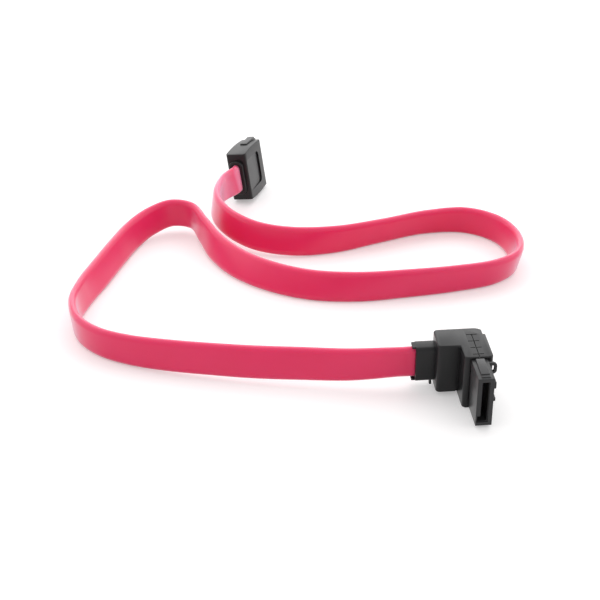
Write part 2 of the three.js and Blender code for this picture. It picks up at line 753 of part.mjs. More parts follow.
const straightNose = connector("straight", STRAIGHT_RAIL_HEIGHT, false);
straightNose.position.set(0, STRAIGHT_MATING_Y, 0);
straightPlug.add(
  named("straight_plug_moulding", straightMoulding(wireWays(straightPlug, jacketEnd - CUT_OVER, wireEnd)), MOULDING_BLACK),
  straightNose,
);

const cable = new THREE.Group();
cable.add(named("cable_jacket", jacketGeometry(), JACKET_PINK));
PAIR_OFFSETS.forEach((offset, index) => {
  const name = `wire_pair_${index + 1}`;
  cable.add(named(name, swept(pairSection(offset, 0), path, 0, wireEnd), FOIL));
});

const group = new THREE.Group();
group.add(anglePlug, cable, straightPlug);

export default group;
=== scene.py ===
"""A flat pink serial data cable on a white table, with a right-angle plug and a straight plug."""

import math

import bmesh
import bpy
from mathutils import Matrix, Vector


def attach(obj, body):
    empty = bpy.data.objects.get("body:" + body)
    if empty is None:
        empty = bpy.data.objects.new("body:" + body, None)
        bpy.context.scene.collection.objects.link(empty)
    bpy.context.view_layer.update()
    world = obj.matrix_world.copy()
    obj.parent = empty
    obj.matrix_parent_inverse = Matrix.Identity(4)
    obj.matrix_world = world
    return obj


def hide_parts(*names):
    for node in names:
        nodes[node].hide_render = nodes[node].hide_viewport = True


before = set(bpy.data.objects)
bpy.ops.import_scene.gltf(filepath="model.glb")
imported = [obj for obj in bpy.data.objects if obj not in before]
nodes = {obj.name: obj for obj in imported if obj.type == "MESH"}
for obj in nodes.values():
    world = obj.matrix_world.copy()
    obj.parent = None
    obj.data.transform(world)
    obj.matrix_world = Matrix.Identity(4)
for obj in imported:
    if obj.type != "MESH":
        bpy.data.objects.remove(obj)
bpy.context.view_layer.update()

# Camera: it stands in front of the loop and looks down on it, with a long lens as for a product picture.
# Its place, pitch and lens are those that bring the plug's known size over the plug in the photograph.
LOOK_DOWN = math.radians(30.8)
CAMERA_PLACE = Vector((-0.0133, -0.3735, 0.218))
LENS = 88.4
SENSOR = 36
NEAREST_SEEN = 0.01

camera = bpy.data.objects.new("camera", bpy.data.cameras.new("camera"))
camera.data.lens = LENS
camera.data.sensor_width = SENSOR
camera.data.clip_start = NEAREST_SEEN
camera.location = CAMERA_PLACE
camera.rotation_euler = (math.pi / 2 - LOOK_DOWN, 0, 0)
bpy.context.collection.objects.link(camera)
bpy.context.scene.camera = camera

# Flat cable: two shielded wire pairs drawn side by side through one soft PVC jacket.
# It stands on its edge on the table, leans a little in its bends and rises over a short hump.
# The jacket is extruded round the pairs and moulded into both plugs.
MM = 0.001
CABLE_WIDTH = 9
CABLE_THICK = 2.4
CABLE_EDGE_RADIUS = 0.9  # of the lower edge, on which the cable leans
CABLE_EDGE_REACH = 1.7  # how far the rounding runs into the flat sides
CABLE_INTO_PLUG = 2.2

# the right-angle plug's cable way in and its turn on the table; the cable runs in along its +X
ANGLE_PLUG = Matrix.Translation((0.0165, -0.0518, 0.0077)) @ Matrix.Rotation(math.radians(5.5), 4, "Z")
# the same for the straight plug; the cable runs in along its +Y
STRAIGHT_PLUG = (
    Matrix.Translation((-0.0334, 0.05285, 0.0092))
    @ Matrix.Rotation(math.radians(-19), 4, "Z")
    @ Matrix.Rotation(math.radians(-3.6), 4, "X")
    @ Matrix.Rotation(math.radians(-10), 4, "Y")
)
STRAIGHT_PLUG_LEAN = 10
ANGLE_RUN_UP = 5  # where the cable is held straight before each plug
STRAIGHT_RUN_UP = 1.2

# x, y and height of the lower edge in metres, and lean of the upper edge to the left in degrees
CABLE_ROUTE = [
    (-0.0003, -0.0519, 0.0022, -11),
    (-0.0133, -0.0505, 0.0017, -17),
    (-0.0253, -0.0490, 0.0012, -18),
    (-0.0373, -0.0470, 0.0008, -14),
    (-0.0493, -0.0445, 0.0004, -11),
    (-0.0593, -0.0415, 0.0001, -5),
    (-0.0677, -0.0372, 0, 0),
    (-0.0737, -0.0306, 0, 4),
    (-0.0763, -0.0210, 0, 8),
    (-0.0749, -0.0110, 0, 16),
    (-0.0716, 0.0006, 0, 22),
    (-0.0682, 0.0124, 0, 22),
    (-0.0643, 0.0240, 0, 19),
    (-0.0595, 0.0310, 0.0008, 12),
    (-0.0533, 0.0346, 0.0018, 4),
    (-0.0469, 0.0332, 0.0016, 1),
    (-0.0429, 0.0254, 0.0008, 8),
    (-0.0387, 0.0161, 0.0002, 18),
    (-0.0319, 0.0066, 0, 24),
    (-0.0223, -0.0013, 0, 21),
    (-0.0103, -0.0066, 0, 18),
    (0.0037, -0.0079, 0, 12),
    (0.0177, -0.0060, 0, 3),
    (0.0317, -0.0032, 0, -4),
    (0.0437, 0.0008, 0, -9),
    (0.0502, 0.0070, 0, -13),
    (0.0515, 0.0168, 0, -14),
    (0.0474, 0.0272, 0, -6),
    (0.0381, 0.0332, 0, 2),
    (0.0257, 0.0321, 0, 11),
    (0.0117, 0.0263, 0, 10),
    (-0.0023, 0.0208, 0, -2),
    (-0.0153, 0.0190, 0.0003, -15),
    (-0.0265, 0.0216, 0.0008, -16),
    (-0.0349, 0.0283, 0.0016, -11),
    (-0.0392, 0.0365, 0.0022, -9),
    (-0.0395, 0.0427, 0.0030, -6),
    (-0.0375, 0.0482, 0.0037, 2),
]
RINGS_PER_STOP = 14
EDGE_POINTS = 9
BEND_REACH = 7  # rings to either side over which a bend is measured
# painted sheen: the cable is painted paler between two lengths before the straight plug, where its side
# faces shine
PALE_FROM = 0.0018
PALE_TO = 0.030
PALE_RISE = 0.006
PALE_FALL = 0.020
PALE_SHEEN = 0.3
EDGE_SHEEN_PAINT = 0.095  # painted highlight: how much paler the rounded edges are painted, where they catch the light


def in_plug(plug, x, y, lean):
    """A stop of the cable's middle line in a plug's own millimetres."""
    return plug @ Vector((x * MM, y * MM, 0)), lean


def on_table(x, y, lift, lean):
    """A stop of the cable's middle line over its lower edge."""
    turn = math.radians(lean)
    flat = (CABLE_WIDTH / 2 - CABLE_EDGE_RADIUS) * math.cos(turn)
    side = (CABLE_THICK / 2 - CABLE_EDGE_RADIUS) * abs(math.sin(turn))
    return Vector((x, y, lift + (flat + side + CABLE_EDGE_RADIUS) * MM)), lean


def between_stops(stops, index, part):
    """Centripetal Catmull-Rom line through the stops, and the lean there."""
    first, second = stops[index], stops[index + 1]
    before = stops[index - 1] if index else (2 * first[0] - second[0], first[1])
    after = stops[index + 2] if index + 2 < len(stops) else (2 * second[0] - first[0], second[1])
    p = [before[0], first[0], second[0], after[0]]
    d = [math.sqrt((p[k + 1] - p[k]).length) for k in range(3)]
    leave = ((p[1] - p[0]) / d[0] - (p[2] - p[0]) / (d[0] + d[1]) + (p[2] - p[1]) / d[1]) * d[1]
    reach = ((p[2] - p[1]) / d[1] - (p[3] - p[1]) / (d[1] + d[2]) + (p[3] - p[2]) / d[2]) * d[1]
    square, cube = part * part, part * part * part
    place = p[1] + leave * part + (3 * (p[2] - p[1]) - 2 * leave - reach) * square
    place += (2 * (p[1] - p[2]) + leave + reach) * cube
    a, b, c, e = before[1], first[1], second[1], after[1]
    lean = b + (c - a) / 2 * part + (a - 2.5 * b + 2 * c - e / 2) * square
    lean += (1.5 * (b - c) + (e - a) / 2) * cube
    return place, lean


cable_stops = [
    in_plug(ANGLE_PLUG, CABLE_INTO_PLUG, 0, 0),
    in_plug(ANGLE_PLUG, 0, 0, 0),
    in_plug(ANGLE_PLUG, -ANGLE_RUN_UP, 0, 0),
    *[on_table(*stop) for stop in CABLE_ROUTE],
    in_plug(STRAIGHT_PLUG, 0, -STRAIGHT_RUN_UP, STRAIGHT_PLUG_LEAN),
    in_plug(STRAIGHT_PLUG, 0, STRAIGHT_RUN_UP, STRAIGHT_PLUG_LEAN),
    in_plug(STRAIGHT_PLUG, 0, CABLE_INTO_PLUG, STRAIGHT_PLUG_LEAN),
]
cable_line = []
for index in range(len(cable_stops) - 1):
    for step in range(RINGS_PER_STOP):
        cable_line.append(between_stops(cable_stops, index, step / RINGS_PER_STOP))
cable_line.append(cable_stops[-1])
cable_points = [place for place, lean in cable_line]

# the section: two flat sides that run softly into a rounded edge above and below
cable_section = []
for quarter, side_y in enumerate([1, 1, -1, -1]):
    for step in range(EDGE_POINTS):
        angle = math.radians(90 * quarter + 90 * step / (EDGE_POINTS - 1))
        cable_section.append((
            CABLE_THICK / 2 * math.cos(angle),
            side_y * (CABLE_WIDTH / 2 - CABLE_EDGE_REACH) + CABLE_EDGE_REACH * math.sin(angle),
        ))
SECTION_POINTS = len(cable_section)

cable_mesh = bmesh.new()
sheen_layer = cable_mesh.verts.layers.float.new("painted_sheen")
uv_layer = cable_mesh.loops.layers.uv.new("along_cable")
rings = []
run = [0]
for index, (place, lean) in enumerate(cable_line):
    behind = cable_points[max(index - 1, 0)]
    ahead = cable_points[min(index + 1, len(cable_points) - 1)]
    forward = (ahead - behind).normalized()
    left = Vector((0, 0, 1)).cross(forward).normalized()
    up = forward.cross(left)
    turn = math.radians(lean)
    thin = left * math.cos(turn) - up * math.sin(turn)
    wide = up * math.cos(turn) + left * math.sin(turn)
    # how sharply the cable bends to its right, over a few millimetres
    back = cable_points[max(index - BEND_REACH, 0)]
    front = cable_points[min(index + BEND_REACH, len(cable_points) - 1)]
    bend = 0
    if BEND_REACH <= index < len(cable_points) - BEND_REACH:
        turned = (place - back).normalized() - (front - place).normalized()
        bend = 2 * turned.dot(thin) / (front - back).length
    to_plug = (cable_points[-1] - place).length
    # painted sheen on the stretch before the straight plug
    plug_sheen = PALE_SHEEN * min(1, (to_plug - PALE_FROM) / PALE_RISE, (PALE_TO - to_plug) / PALE_FALL)
    ring = []
    for x, y in cable_section:
        vert = cable_mesh.verts.new(place + (thin * x + wide * y) * MM)
        # painted sheen and highlight: the mark is paler on one side of tight bends, on the rounded edges
        # and before the straight plug
        edge_sheen = EDGE_SHEEN_PAINT * (1 - (CABLE_WIDTH / 2 - abs(y)) / CABLE_EDGE_REACH)
        vert[sheen_layer] = max(bend * x * MM, plug_sheen, edge_sheen)
        ring.append(vert)
    rings.append(ring)
    run.append(run[-1] + (ahead - place).length)
for index in range(len(rings) - 1):
    for step in range(SECTION_POINTS):
        other = (step + 1) % SECTION_POINTS
        near, far = rings[index], rings[index + 1]
        face = cable_mesh.faces.new([near[step], near[other], far[other], far[step]])
        face.smooth = True
        spots = [(index, step), (index, step + 1), (index + 1, step + 1), (index + 1, step)]
        for loop, (along, around) in zip(face.loops, spots):
            loop[uv_layer].uv = (run[along], around / SECTION_POINTS)
cable_mesh.faces.new(reversed(rings[0]))
cable_mesh.faces.new(rings[-1])
bmesh.ops.recalc_face_normals(cable_mesh, faces=cable_mesh.faces)
cable = bpy.data.objects.new("flat_cable", bpy.data.meshes.new("flat_cable"))
cable_mesh.to_mesh(cable.data)
cable_mesh.free()
bpy.context.collection.objects.link(cable)

CABLE_PINK = (0.87, 0.021, 0.134, 1)
CABLE_DEEP_PINK = (0.82, 0.015, 0.108, 1)
# painted sheen: a paler pink put where the cable's sides, edges and bends shine
CABLE_SHEEN_PINK = (0.88, 0.26, 0.42, 1)
DRAW_LINE_SCALE = (25, 60, 1)  # along the cable, round it
DRAW_LINE_DETAIL = 3
DRAW_LINE_DEPTH = 0.0001
DRAW_LINE_STRENGTH = 0.06
CLOUD_SCALE = 90
CLOUD_DETAIL = 2
SHEEN_PAINT_FROM = 0.02  # mark at which the painted sheen starts to pale the pink
SHEEN_PAINT_FULL = 0.26
SHEEN_PAINT_SHARE = 0.75
CABLE_ROUGHNESS = (0.29, 0.37)
EDGE_SKIN_IOR = 1.7
EDGE_SKIN_ROUGHNESS = 0.3
CABLE_SPECULAR = 0.5
CABLE_SHEEN = 0.75
CABLE_SHEEN_ROUGHNESS = 0.35
CABLE_SHEEN_TINT = (0.85, 0.86, 1, 1)
CABLE_GLOW = 0.4  # light that goes through the soft jacket
CABLE_GLOW_COLOURS = (1, 0.2, 0.35)  # how far red, green and blue go in it
CABLE_GLOW_REACH = 0.0015


def new_material(name):
    """A node material with its Principled shader ready."""
    material = bpy.data.materials.new(name)
    material.use_nodes = True
    tree = material.node_tree
    return material, tree.nodes, tree.links, tree.nodes["Principled BSDF"]


def edge_shine(made, link, shader, start, full, weight):
    """A smooth skin that shines only where the surface turns away from the viewer."""
    turned = made.new("ShaderNodeLayerWeight")
    skin = made.new("ShaderNodeMapRange")
    skin.inputs["From Min"].default_value = start
    skin.inputs["From Max"].default_value = full
    skin.inputs["To Max"].default_value = weight
    link.new(turned.outputs["Facing"], skin.inputs["Value"])
    link.new(skin.outputs["Result"], shader.inputs["Coat Weight"])
    shader.inputs["Coat IOR"].default_value = EDGE_SKIN_IOR
    shader.inputs["Coat Roughness"].default_value = EDGE_SKIN_ROUGHNESS


cable_material, made, link, pvc = new_material("cable_pvc")
uv = made.new("ShaderNodeUVMap")
uv.uv_map = "along_cable"
lengthwise = made.new("ShaderNodeMapping")
lengthwise.inputs["Scale"].default_value = DRAW_LINE_SCALE
link.new(uv.outputs["UV"], lengthwise.inputs["Vector"])
draw_lines = made.new("ShaderNodeTexNoise")
draw_lines.inputs["Scale"].default_value = 1
draw_lines.inputs["Detail"].default_value = DRAW_LINE_DETAIL
link.new(lengthwise.outputs["Vector"], draw_lines.inputs["Vector"])
place_on = made.new("ShaderNodeTexCoord")
clouding = made.new("ShaderNodeTexNoise")
clouding.inputs["Scale"].default_value = CLOUD_SCALE
clouding.inputs["Detail"].default_value = CLOUD_DETAIL
link.new(place_on.outputs["Object"], clouding.inputs["Vector"])
tint = made.new("ShaderNodeMix")
tint.data_type = "RGBA"
tint.inputs[6].default_value = CABLE_DEEP_PINK
tint.inputs[7].default_value = CABLE_PINK
link.new(clouding.outputs["Fac"], tint.inputs[0])
# painted sheen: the per-vertex mark mixes the paler pink into the jacket's colour
painted_sheen = made.new("ShaderNodeAttribute")
painted_sheen.attribute_name = "painted_sheen"
sheen_paint_amount = made.new("ShaderNodeMapRange")
sheen_paint_amount.interpolation_type = "SMOOTHSTEP"
sheen_paint_amount.inputs["From Min"].default_value = SHEEN_PAINT_FROM
sheen_paint_amount.inputs["From Max"].default_value = SHEEN_PAINT_FULL
sheen_paint_amount.inputs["To Max"].default_value = SHEEN_PAINT_SHARE
link.new(painted_sheen.outputs["Fac"], sheen_paint_amount.inputs["Value"])
sheen_painted = made.new("ShaderNodeMix")
sheen_painted.data_type = "RGBA"
sheen_painted.inputs[7].default_value = CABLE_SHEEN_PINK
link.new(sheen_paint_amount.outputs["Result"], sheen_painted.inputs[0])
link.new(tint.outputs[2], sheen_painted.inputs[6])
link.new(sheen_painted.outputs[2], pvc.inputs["Base Color"])
cable_gloss = made.new("ShaderNodeMapRange")
cable_gloss.inputs["To Min"].default_value = CABLE_ROUGHNESS[0]
cable_gloss.inputs["To Max"].default_value = CABLE_ROUGHNESS[1]
link.new(clouding.outputs["Fac"], cable_gloss.inputs["Value"])
link.new(cable_gloss.outputs["Result"], pvc.inputs["Roughness"])
pvc.inputs["Specular IOR Level"].default_value = CABLE_SPECULAR
pvc.inputs["Sheen Weight"].default_value = CABLE_SHEEN
pvc.inputs["Sheen Roughness"].default_value = CABLE_SHEEN_ROUGHNESS
pvc.inputs["Sheen Tint"].default_value = CABLE_SHEEN_TINT
pvc.inputs["Subsurface Weight"].default_value = CABLE_GLOW
pvc.inputs["Subsurface Radius"].default_value = CABLE_GLOW_COLOURS
pvc.inputs["Subsurface Scale"].default_value = CABLE_GLOW_REACH
cable_bump = made.new("ShaderNodeBump")
cable_bump.inputs["Strength"].default_value = DRAW_LINE_STRENGTH
cable_bump.inputs["Distance"].default_value = DRAW_LINE_DEPTH
link.new(draw_lines.outputs["Fac"], cable_bump.inputs["Height"])
link.new(cable_bump.outputs["Normal"], pvc.inputs["Normal"])
edge_shine(made, link, pvc, start=0.40, full=0.78, weight=0.65)
cable.data.materials.append(cable_material)

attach(cable, "root")
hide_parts("cable_jacket", "wire_pair_1", "wire_pair_2")

# Contact carriers: hard black nylon mouldings that go into the drive's socket, one in each plug.
# Each is a flat nose with an L-shaped slot, a rail and seven grooves, and one has ribs and a pull loop.
# They are made here in millimetres, with the mating face at y = 0 and the nose pointing to +Y.
NOSE_HEIGHT = 14
NOSE_THICK = 4.2
NOSE_LENGTH = 13
SLOT_HEIGHT = 11.6
SLOT_WIDTH = 1.7
SLOT_DEPTH = 6.5
KEY_REACH = 0.8
KEY_HEIGHT = 1.5
MOUTH_LIP = 0.2
MOUTH_DEPTH = 0.4
CARRIER_EDGE = 0.18
GROOVE_COUNT = 7
GROOVE_PITCH = 1.27
GROOVE_ROW_Z = 0.8
GROOVE_WIDTH = 0.8
GROOVE_NEAR = 0.6
GROOVE_FAR = 1.4
GROOVE_TIP = 0.8
RAIL_HALF_WIDTH = 1.15
RAIL_ROOT = 0.6
RAIL_BACK = 8.6
RAIL_FRONT = 1.5
RAIL_STEP_FRONT = 0.6
ANGLE_RAIL_HEIGHT = 0.6
STRAIGHT_RAIL_HEIGHT = 1.6
RIB_REACH = 0.7
RIB_BACK = 7.3
RIB_FRONT = 0.8
WIDE_RIB_LOW = 3.45
WIDE_RIB_HIGH = 5.35
SLIM_RIB_LOW = -0.3
SLIM_RIB_HIGH = 0.7
LOOP_REACH = 2.2
LOOP_ROOT = 0.3
LOOP_BACK = 8.1
LOOP_FRONT = 7.3
LOOP_LOW = 3.5
LOOP_HIGH = 6.9
LOOP_RADIUS = 1.1
LOOP_EDGE = 0.15
EYE_REACH = 1.4
EYE_ROOT = 0.3
EYE_BACK = 9
EYE_FRONT = 6
EYE_LOW = 4.35
EYE_HIGH = 6.05
EYE_RADIUS = 0.4
CUT_OVER = 1  # how far a cutting shape stands out of what it cuts
TOUCH = 0.1  # how near a corner lies to a plane that it is on
SHARP_ANGLE = 40
SMOOTH_ANGLE = 35


def block(name, low, high):
    """A cube primitive between two corners, its place in its mesh."""
    bpy.ops.object.select_all(action="DESELECT")
    size = [b - a for a, b in zip(low, high)]
    middle = [(a + b) / 2 for a, b in zip(low, high)]
    bpy.ops.mesh.primitive_cube_add(size=1, location=middle, scale=size)
    piece = bpy.context.object
    piece.name = piece.data.name = name
    bpy.ops.object.transform_apply(location=True, rotation=True, scale=True)
    return piece


def bevel_edges(piece, chosen, radius, segments=4):
    """Rounds the edges whose two ends pass the test."""
    bpy.context.view_layer.objects.active = piece
    bpy.ops.object.mode_set(mode="EDIT")
    bpy.ops.mesh.select_mode(type="EDGE")
    bpy.ops.mesh.select_all(action="DESELECT")
    edit = bmesh.from_edit_mesh(piece.data)
    for edge in edit.edges:
        edge.select = chosen(edge.verts[0].co, edge.verts[1].co)
    edit.select_flush_mode()
    bmesh.update_edit_mesh(piece.data)
    bpy.ops.mesh.bevel(offset=radius, segments=segments, affect="EDGES")
    bpy.ops.object.mode_set(mode="OBJECT")


def fit(piece, tool, operation):
    """Joins a shape to a piece, or cuts it out, and clears the shape away."""
    bpy.context.view_layer.objects.active = piece
    modifier = piece.modifiers.new("fit", "BOOLEAN")
    modifier.solver = "EXACT"
    modifier.operation = operation
    modifier.object = tool
    bpy.ops.object.modifier_apply(modifier="fit")
    bpy.data.objects.remove(tool, do_unlink=True)


def soften(piece, radius, segments=3):
    """Rounds every sharp edge a little, as a mould leaves it."""
    bpy.context.view_layer.objects.active = piece
    modifier = piece.modifiers.new("edges", "BEVEL")
    modifier.width = radius
    modifier.segments = segments
    modifier.limit_method = "ANGLE"
    modifier.angle_limit = math.radians(SHARP_ANGLE)
    bpy.ops.object.modifier_apply(modifier="edges")


def smooth(piece):
    """Smooth shading but for real edges."""
    bpy.ops.object.select_all(action="DESELECT")
    piece.select_set(True)
    bpy.context.view_layer.objects.active = piece
    bpy.ops.object.shade_smooth_by_angle(angle=math.radians(SMOOTH_ANGLE))


def slot_tool(grow, depth):
    """The L-shaped slot as a solid, upright leg and key."""
    x, z = SLOT_WIDTH / 2 + grow, SLOT_HEIGHT / 2 + grow
    key_top = KEY_HEIGHT - SLOT_HEIGHT / 2 + grow
    leg = block("slot_leg", (-x, -depth, -z), (x, CUT_OVER, z))
    key = block("slot_key", (-x, -depth, -z), (x + KEY_REACH, CUT_OVER, key_top))
    fit(leg, key, "UNION")
    return leg


def rail_block(name, front, height):
    """The rail on the nose's top edge, up to a front and a height."""
    top = NOSE_HEIGHT / 2
    low = (-RAIL_HALF_WIDTH, -RAIL_BACK, top - RAIL_ROOT)
    return block(name, low, (RAIL_HALF_WIDTH, -front, top + height))


def rib_block(name, low, high):
    """A rib on the nose's outer side, between two heights."""
    return block(name, (-NOSE_THICK / 2 - RIB_REACH, -RIB_BACK, low), (0, -RIB_FRONT, high))


def round_outer(piece, outer, radius):
    """Rounds the two edges of a loop's outer side."""
    bevel_edges(piece, lambda a, b: max(a.x, b.x) < outer + TOUCH and abs(a.z - b.z) < TOUCH, radius)


def pull_loop():
    """A small loop on the outer side, for easing the plug out."""
    side = -NOSE_THICK / 2
    low = (side - LOOP_REACH, -LOOP_BACK, LOOP_LOW)
    loop = block("pull_loop", low, (side + LOOP_ROOT, -LOOP_FRONT, LOOP_HIGH))
    round_outer(loop, side - LOOP_REACH, LOOP_RADIUS)
    eye = block("eye", (side - EYE_REACH, -EYE_BACK, EYE_LOW), (side - EYE_ROOT, -EYE_FRONT, EYE_HIGH))
    round_outer(eye, side - EYE_REACH, EYE_RADIUS)
    fit(loop, eye, "DIFFERENCE")
    soften(loop, LOOP_EDGE, 2)
    return loop


def contact_carrier(name, rail_height, outer_side):
    """One carrier, with the ribs and the loop where it has an outer side."""
    x, z = NOSE_THICK / 2, NOSE_HEIGHT / 2
    carrier = block(name, (-x, -NOSE_LENGTH, -z), (x, 0, z))
    fit(carrier, rail_block("rail", RAIL_FRONT, rail_height), "UNION")
    fit(carrier, rail_block("rail_step", RAIL_STEP_FRONT, rail_height / 2), "UNION")
    if outer_side:
        fit(carrier, rib_block("wide_rib", WIDE_RIB_LOW, WIDE_RIB_HIGH), "UNION")
        fit(carrier, rib_block("slim_rib", SLIM_RIB_LOW, SLIM_RIB_HIGH), "UNION")
    soften(carrier, CARRIER_EDGE)
    if outer_side:
        fit(carrier, pull_loop(), "UNION")
    fit(carrier, slot_tool(0, SLOT_DEPTH), "DIFFERENCE")
    fit(carrier, slot_tool(MOUTH_LIP, MOUTH_DEPTH), "DIFFERENCE")
    for index in range(GROOVE_COUNT):
        middle = GROOVE_ROW_Z + (index - GROOVE_COUNT // 2) * GROOVE_PITCH
        low = (GROOVE_NEAR, -NOSE_LENGTH - CUT_OVER, middle - GROOVE_WIDTH / 2)
        high = (GROOVE_FAR, -GROOVE_TIP, middle + GROOVE_WIDTH / 2)
        fit(carrier, block("groove", low, high), "DIFFERENCE")
    smooth(carrier)
    return carrier


def put_in_place(piece, place):
    """Takes a piece from its own millimetres to its place in metres."""
    piece.data.transform(place @ Matrix.Scale(MM, 4))
    piece.data.update()


ANGLE_NOSE_X = 14.5
ANGLE_MATING_Y = -20.45
STRAIGHT_MATING_Y = 17.6
ANGLE_MATING_FACE = (
    ANGLE_PLUG
    @ Matrix.Translation((ANGLE_NOSE_X * MM, ANGLE_MATING_Y * MM, 0))
    @ Matrix.Rotation(math.pi, 4, "Z")
)
STRAIGHT_MATING_FACE = STRAIGHT_PLUG @ Matrix.Translation((0, STRAIGHT_MATING_Y * MM, 0))
angle_carrier = contact_carrier("angle_nose", ANGLE_RAIL_HEIGHT, outer_side=True)
put_in_place(angle_carrier, ANGLE_MATING_FACE)
straight_carrier = contact_carrier("straight_nose", STRAIGHT_RAIL_HEIGHT, outer_side=False)
put_in_place(straight_carrier, STRAIGHT_MATING_FACE)

# the skin that both plastics of the plugs share: fine grain, and faint patches where the melt flowed
PATCH_SCALE = 260
PATCH_DETAIL = 4
GRAIN_DETAIL = 2
PLASTIC_SPECULAR = 0.3
GRAIN_STRENGTH = 0.35
GLOSS_SPREAD = 0.07
NYLON_DARK = (0.020, 0.020, 0.021, 1)
NYLON_LIGHT = (0.034, 0.034, 0.036, 1)
plastic_skin = bpy.data.node_groups.new("plastic_skin", "ShaderNodeTree")
for name, kind, side in [
    ("Grain Scale", "NodeSocketFloat", "INPUT"),
    ("Patch Scale", "NodeSocketFloat", "INPUT"),
    ("Dark", "NodeSocketColor", "INPUT"),
    ("Light", "NodeSocketColor", "INPUT"),
    ("Colour", "NodeSocketColor", "OUTPUT"),
    ("Patches", "NodeSocketFloat", "OUTPUT"),
    ("Grain", "NodeSocketFloat", "OUTPUT"),
]:
    plastic_skin.interface.new_socket(name=name, in_out=side, socket_type=kind)
inner, wire = plastic_skin.nodes, plastic_skin.links
given = inner.new("NodeGroupInput")
result = inner.new("NodeGroupOutput")
skin_place = inner.new("ShaderNodeTexCoord")
grain = inner.new("ShaderNodeTexNoise")
grain.inputs["Detail"].default_value = GRAIN_DETAIL
wire.new(skin_place.outputs["Object"], grain.inputs["Vector"])
wire.new(given.outputs["Grain Scale"], grain.inputs["Scale"])
patches = inner.new("ShaderNodeTexNoise")
patches.inputs["Detail"].default_value = PATCH_DETAIL
wire.new(skin_place.outputs["Object"], patches.inputs["Vector"])
wire.new(given.outputs["Patch Scale"], patches.inputs["Scale"])
shade = inner.new("ShaderNodeMix")
shade.data_type = "RGBA"
wire.new(patches.outputs["Fac"], shade.inputs[0])
wire.new(given.outputs["Dark"], shade.inputs[6])
wire.new(given.outputs["Light"], shade.inputs[7])
wire.new(shade.outputs[2], result.inputs["Colour"])
wire.new(patches.outputs["Fac"], result.inputs["Patches"])
wire.new(grain.outputs["Fac"], result.inputs["Grain"])


def black_plastic(name, dark, light, gloss, grain_scale, grain_depth):
    """Moulded black plastic with its own shade, gloss and grain."""
    material, made, link, shader = new_material(name)
    shader.inputs["Specular IOR Level"].default_value = PLASTIC_SPECULAR
    skin = made.new("ShaderNodeGroup")
    skin.node_tree = plastic_skin
    skin.inputs["Grain Scale"].default_value = grain_scale
    skin.inputs["Patch Scale"].default_value = PATCH_SCALE
    skin.inputs["Dark"].default_value = dark
    skin.inputs["Light"].default_value = light
    link.new(skin.outputs["Colour"], shader.inputs["Base Color"])
    roughness = made.new("ShaderNodeMapRange")
    roughness.inputs["To Min"].default_value = gloss - GLOSS_SPREAD
    roughness.inputs["To Max"].default_value = gloss + GLOSS_SPREAD
    link.new(skin.outputs["Patches"], roughness.inputs["Value"])
    link.new(roughness.outputs["Result"], shader.inputs["Roughness"])
    bump = made.new("ShaderNodeBump")
    bump.inputs["Strength"].default_value = GRAIN_STRENGTH
    bump.inputs["Distance"].default_value = grain_depth
    link.new(skin.outputs["Grain"], bump.inputs["Height"])
    link.new(bump.outputs["Normal"], shader.inputs["Normal"])
    edge_shine(made, link, shader, start=0.45, full=0.8, weight=0.34)
    return material


carrier_nylon = black_plastic(
    "carrier_nylon", NYLON_DARK, NYLON_LIGHT, gloss=0.36, grain_scale=5200, grain_depth=0.00002
)
for piece, node in [
    (angle_carrier, "angle_contact_carrier"),
    (straight_carrier, "straight_contact_carrier"),
]:
    piece.data.materials.append(carrier_nylon)
    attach(piece, "root")
    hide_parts(node)

# Contacts: seven gold-plated spring strips in each carrier, bowed out into the slot.
# They are stamped from thin bronze, so each keeps the shape it has in the part.
WORN_GOLD = (0.62, 0.36, 0.10, 1)
BRIGHT_GOLD = (0.80, 0.53, 0.19, 1)
WIPING_SCALE = 1800
GOLD_ROUGHNESS = (0.18, 0.36)
contact_gold, made, link, plating = new_material("contact_gold")
plating.inputs["Metallic"].default_value = 1
gold_place = made.new("ShaderNodeTexCoord")
wiping = made.new("ShaderNodeTexNoise")
wiping.inputs["Scale"].default_value = WIPING_SCALE
link.new(gold_place.outputs["Object"], wiping.inputs["Vector"])
gold_shade = made.new("ShaderNodeMix")
gold_shade.data_type = "RGBA"
gold_shade.inputs[6].default_value = WORN_GOLD
gold_shade.inputs[7].default_value = BRIGHT_GOLD
link.new(wiping.outputs["Fac"], gold_shade.inputs[0])
link.new(gold_shade.outputs[2], plating.inputs["Base Color"])
gold_gloss = made.new("ShaderNodeMapRange")
gold_gloss.inputs["To Min"].default_value = GOLD_ROUGHNESS[0]
gold_gloss.inputs["To Max"].default_value = GOLD_ROUGHNESS[1]
link.new(wiping.outputs["Fac"], gold_gloss.inputs["Value"])
link.new(gold_gloss.outputs["Result"], plating.inputs["Roughness"])
for plug in ("angle", "straight"):
    for number in range(1, GROOVE_COUNT + 1):
        contact = nodes[f"{plug}_contact_{number}"]
        for slot in contact.material_slots:
            slot.material = contact_gold

# Right-angle moulding: soft black PVC shot round the carrier's back end and the cable, in one go.
# A collar holds the cable, a lower block covers the turn of the wires and a hood stands round the nose.
# It is modelled in millimetres with the cable's way in at the origin.
PLUG_HALF_HEIGHT = 7.7
COLLAR_LENGTH = 5
COLLAR_HALF_THICK = 2.3
COLLAR_HALF_HEIGHT = 5.15
COLLAR_RADIUS = 1.1
BLOCK_FRONT = -5.6
BLOCK_LIFT = 1.2
BACK_WALL = 2.65
HOOD_LEFT = 10.8
HOOD_RIGHT = 18.2
HOOD_FRONT = -11.45
HOOD_RADIUS = 1.1
HEEL_RADIUS = 2.8
HEEL_STEP = 0.65
HEEL_LENGTH = 3
MOULDING_EDGE = 0.45
EAR_LENGTH = 0.9
EAR_HALF_THICK = 1.3
EAR_INNER = 4.6
EAR_ROOT = 1.5
EAR_RADIUS = 0.22
EAR_INSET = 0.04
COLLAR_RIM = 0.3
